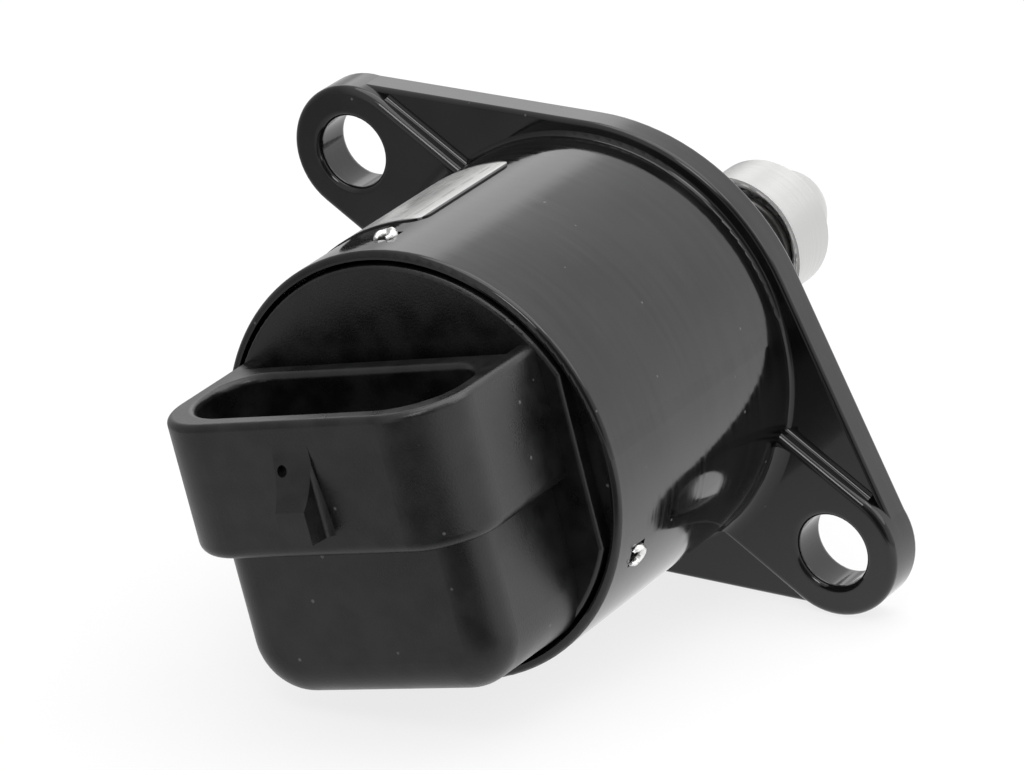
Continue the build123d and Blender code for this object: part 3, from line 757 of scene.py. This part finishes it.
class VALVE_OT_finish_motor(bpy.types.Operator):
    """Finish the stator, the coils, the bearings and the rotor"""

    bl_idname = "valve.finish_motor"
    bl_label = "Motor"

    def execute(self, context):
        lamination = metal_finish("stator_steel", (0.42, 0.43, 0.44), 0.38, grain=0.5)
        plates = [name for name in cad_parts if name.startswith("stator_")]
        paint_nodes(lamination, *plates, "bearing_cage")
        paint_nodes(plain_plastic("bobbin_plastic", (0.62, 0.58, 0.48), 0.42), "bobbin_front", "bobbin_rear")
        copper = metal_finish(
            "copper_wire", (0.62, 0.22, 0.09), 0.28, stretch=(40.0, 0.25, 40.0), grain=1.0, depth=0.05,
        )
        paint_nodes(copper, "winding_front", "winding_rear")
        race = metal_finish(
            "bearing_steel", (0.62, 0.62, 0.63), 0.16, stretch=(30.0, 0.08, 30.0), grain=1.0, depth=0.002,
        )
        paint_nodes(race, "bearing_outer", "bearing_inner", "bearing_balls")
        bronze = metal_finish("sintered_bronze", (0.45, 0.27, 0.13), 0.5, grain=0.12, depth=0.02)
        paint_nodes(bronze, "rear_bush")
        paint_nodes(plain_plastic("guide_plastic", (0.55, 0.54, 0.50), 0.4), "thrust_washer", "guide_bush")
        brass = metal_finish("nut_brass", (0.70, 0.52, 0.24), 0.3, stretch=(30.0, 0.15, 30.0), grain=1.0)
        paint_nodes(brass, "rotor_nut")
        ferrite = metal_finish("ferrite", (0.05, 0.048, 0.05), 0.48, grain=0.2, depth=0.01, metallic=0.2)
        paint_nodes(ferrite, "rotor_magnet")
        return {"FINISHED"}


class VALVE_OT_finish_plug(bpy.types.Operator):
    """Finish the plug"""

    bl_idname = "valve.finish_plug"
    bl_label = "Plug"

    def execute(self, context):
        paint_nodes(turned_plug(context.scene.valve_colours, context.scene.valve_details), "plug")
        return {"FINISHED"}


def heading_at(azimuth, elevation):
    """Unit vector at an azimuth from -Y towards +X, and an elevation, both in degrees."""
    turn, lift = math.radians(azimuth), math.radians(elevation)
    return Vector((math.sin(turn) * math.cos(lift), -math.cos(turn) * math.cos(lift), math.sin(lift)))


# Parts of the tent of light, each about one heading
OPENING_HEADING = heading_at(36, 10)
BACKLIGHT_HEADING = heading_at(175, -8)
PANEL_HEADING = heading_at(-150, 22)

# The floor's reflections: a dark patch in front of the valve, and a dim left side
PATCH_CENTRE = Vector((36, -100, 0)) * MM
PATCH_EDGES = (42 * MM, 68 * MM)
PATCH_LEVEL = 0.12
LEFT_EDGES = (-65 * MM, -30 * MM)
LEFT_LEVEL = 0.48
SWEEP_EDGES = (-70 * MM, 55 * MM)  # x + y, from left in front to right behind

# Soft lamps: name, heading, diameter in metres and power in watts
LAMP_DISTANCE = 0.6
LAMPS = (
    ("overhead", (0.3, 0.25, 0.92), 0.7, 2.5),
    ("side", (0.80, 0.36, 0.48), 0.36, 0.6),
    ("front", (0.40, -0.59, 0.70), 0.2, 0.7),
)


def nearness(tree, heading, target, far, near, to_far, to_near):
    """A level that changes with the angle between a heading and a target, from far to near, in degrees."""
    product = add_node(tree, "ShaderNodeVectorMath", {0: heading, 1: target}, operation="DOT_PRODUCT")
    edges = math.cos(math.radians(far)), math.cos(math.radians(near))
    return remap(tree, product.outputs["Value"], *edges, to_far, to_near)


def studio_world(stage):
    """White to the eye; otherwise a pale tent with a bright panel behind and a dark opening in front."""
    world = bpy.data.worlds.new("studio")
    world.use_nodes = True
    tree = world.node_tree
    heading = add_node(tree, "ShaderNodeTexCoord").outputs["Generated"]
    front = nearness(tree, heading, OPENING_HEADING, far=42, near=12, to_far=1.0, to_near=stage.opening)
    back = nearness(tree, heading, BACKLIGHT_HEADING, far=80, near=30, to_far=1.0, to_near=stage.backlight)
    across = add_node(tree, "ShaderNodeSeparateXYZ", {0: heading}).outputs[0]
    left = remap(tree, across, -0.65, -0.2, to_low=0.5)
    panel = nearness(tree, heading, PANEL_HEADING, far=20, near=11, to_far=0.0, to_near=stage.glow)
    up = Vector(stage.floor_up).normalized()
    above = nearness(tree, heading, up, far=81, near=71, to_far=0.0, to_near=1.0)
    walls = math_node(tree, "MULTIPLY", math_node(tree, "MULTIPLY", front, back), left)
    tent = math_node(tree, "MULTIPLY_ADD", panel, above, walls)
    path = add_node(tree, "ShaderNodeLightPath").outputs
    seen = math_node(tree, "MAXIMUM", path["Is Camera Ray"], path["Is Transmission Ray"])
    strength = mix_number(tree, seen, tent, 1.0)
    tree.links.new(strength, tree.nodes["Background"].inputs["Strength"])
    tree.nodes["Background"].inputs["Color"].default_value = (1, 1, 1, 1)
    return world


def pale_floor(stage):
    """A pale floor, near white to the eye, that keeps soft shadows and is clear from beneath."""
    material = bpy.data.materials.new("pale_floor")
    material.use_nodes = True
    tree = material.node_tree
    tree.nodes.clear()
    paper = add_node(tree, "ShaderNodeBsdfDiffuse", {"Color": (0.75, 0.75, 0.75, 1)})
    path = add_node(tree, "ShaderNodeLightPath").outputs
    coordinates = add_node(tree, "ShaderNodeTexCoord").outputs["Object"]
    x, y, _ = add_node(tree, "ShaderNodeSeparateXYZ", {0: coordinates}).outputs
    level = remap(tree, math_node(tree, "ADD", x, y), *SWEEP_EDGES, *stage.floor_levels)
    flat = add_node(tree, "ShaderNodeCombineXYZ", {0: x, 1: y}).outputs[0]
    from_patch = add_node(tree, "ShaderNodeVectorMath", {0: flat, 1: PATCH_CENTRE}, operation="DISTANCE")
    patch = remap(tree, from_patch.outputs["Value"], *PATCH_EDGES, to_low=PATCH_LEVEL)
    level = math_node(tree, "MULTIPLY", level, patch)
    level = math_node(tree, "MULTIPLY", level, remap(tree, x, *LEFT_EDGES, to_low=LEFT_LEVEL))
    strength = mix_number(tree, path["Is Glossy Ray"], 1.0, level)
    white = add_node(tree, "ShaderNodeEmission", {"Color": (1, 1, 1, 1), "Strength": strength})
    seen = math_node(tree, "MAXIMUM", path["Is Camera Ray"], path["Is Transmission Ray"])
    seen = math_node(tree, "MULTIPLY", seen, stage.seen_floor)
    mirrored = math_node(tree, "MULTIPLY", path["Is Glossy Ray"], stage.mirrored_floor)
    share = math_node(tree, "MAXIMUM", seen, mirrored)
    lit = add_node(tree, "ShaderNodeMixShader", {0: share, 1: paper.outputs[0], 2: white.outputs[0]})
    clear = add_node(tree, "ShaderNodeBsdfTransparent")
    behind = add_node(tree, "ShaderNodeNewGeometry").outputs["Backfacing"]
    surface = add_node(tree, "ShaderNodeMixShader", {0: behind, 1: lit.outputs[0], 2: clear.outputs[0]})
    add_node(tree, "ShaderNodeOutputMaterial", {"Surface": surface.outputs[0]})
    return material


class VALVE_OT_make_stage(bpy.types.Operator):
    """Lay the floor, hang the lamps and place the camera"""

    bl_idname = "valve.make_stage"
    bl_label = "Stage"

    def execute(self, context):
        scene, stage = context.scene, context.scene.valve_stage
        scene.view_settings.view_transform = "Standard"
        scene.world = studio_world(stage)
        self.lay_floor(scene, stage)
        for name, heading, size, power in LAMPS:
            self.hang_lamp(scene, name, Vector(heading), size, power)
        self.place_camera(scene, stage)
        return {"FINISHED"}

    def lay_floor(self, scene, stage):
        """Lay a square floor under the lowest point of the valve."""
        up = Vector(stage.floor_up).normalized()
        lowest = min(up.dot(vertex.co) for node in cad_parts.values() for vertex in node.data.vertices)
        side = up.orthogonal().normalized()
        front = up.cross(side)
        signs = ((-1, -1), (1, -1), (1, 1), (-1, 1))
        corners = [lowest * up + stage.floor_reach * (a * side + b * front) for a, b in signs]
        mesh = bpy.data.meshes.new("floor")
        mesh.from_pydata(corners, [], [(0, 1, 2, 3)])
        mesh.materials.append(pale_floor(stage))
        floor = bpy.data.objects.new("floor", mesh)
        scene.collection.objects.link(floor)

    def hang_lamp(self, scene, name, heading, size, power):
        """Hang a round lamp that faces the valve."""
        lamp = bpy.data.lights.new(name, "AREA")
        lamp.shape = "DISK"
        lamp.size = size
        lamp.energy = power
        holder = bpy.data.objects.new(name, lamp)
        holder.location = LAMP_DISTANCE * heading.normalized()
        holder.rotation_mode = "QUATERNION"
        holder.rotation_quaternion = heading.to_track_quat("Z", "Y")
        holder.visible_camera = False
        scene.collection.objects.link(holder)

    def place_camera(self, scene, stage):
        """Stand the camera at the photograph's angle."""
        back = heading_at(math.degrees(stage.azimuth), math.degrees(stage.elevation))
        lens = bpy.data.cameras.new("camera")
        lens.lens = stage.lens
        camera = bpy.data.objects.new("camera", lens)
        camera.location = Vector(stage.aim) + stage.distance * back
        camera.rotation_mode = "QUATERNION"
        camera.rotation_quaternion = back.to_track_quat("Z", "Y") @ Quaternion((0, 0, 1), stage.roll)
        scene.collection.objects.link(camera)
        scene.camera = camera


STEPS = (
    VALVE_OT_finish_casing,
    VALVE_OT_finish_motor,
    VALVE_OT_finish_plug,
    VALVE_OT_make_spring,
    VALVE_OT_make_screw,
    VALVE_OT_make_burrs,
    VALVE_OT_make_stage,
)


class VALVE_PT_panel(bpy.types.Panel):
    """Lists the steps and their settings"""

    bl_label = "Valve"
    bl_idname = "VALVE_PT_panel"
    bl_space_type = "VIEW_3D"
    bl_region_type = "UI"
    bl_category = "Valve"

    def draw(self, context):
        for step in STEPS:
            self.layout.operator(step.bl_idname)
        for group in (context.scene.valve_colours, context.scene.valve_details, context.scene.valve_stage):
            box = self.layout.box()
            for name in group.__annotations__:
                box.prop(group, name)


SETTINGS = {"valve_colours": ValveColours, "valve_details": ValveDetails, "valve_stage": ValveStage}
CLASSES = (*SETTINGS.values(), *STEPS, VALVE_PT_panel)


def register():
    for cls in CLASSES:
        bpy.utils.register_class(cls)
    for name, group in SETTINGS.items():
        setattr(bpy.types.Scene, name, PointerProperty(type=group))


def unregister():
    for name in SETTINGS:
        delattr(bpy.types.Scene, name)
    for cls in reversed(CLASSES):
        bpy.utils.unregister_class(cls)


def main():
    """Build the dressed valve and its stage."""
    register()
    bpy.ops.valve.finish_casing()
    bpy.ops.valve.finish_motor()
    bpy.ops.valve.finish_plug()
    bpy.ops.valve.make_spring()
    bpy.ops.valve.make_screw()
    bpy.ops.valve.make_burrs()
    bpy.ops.valve.make_stage()


if __name__ == "__main__":
    main()
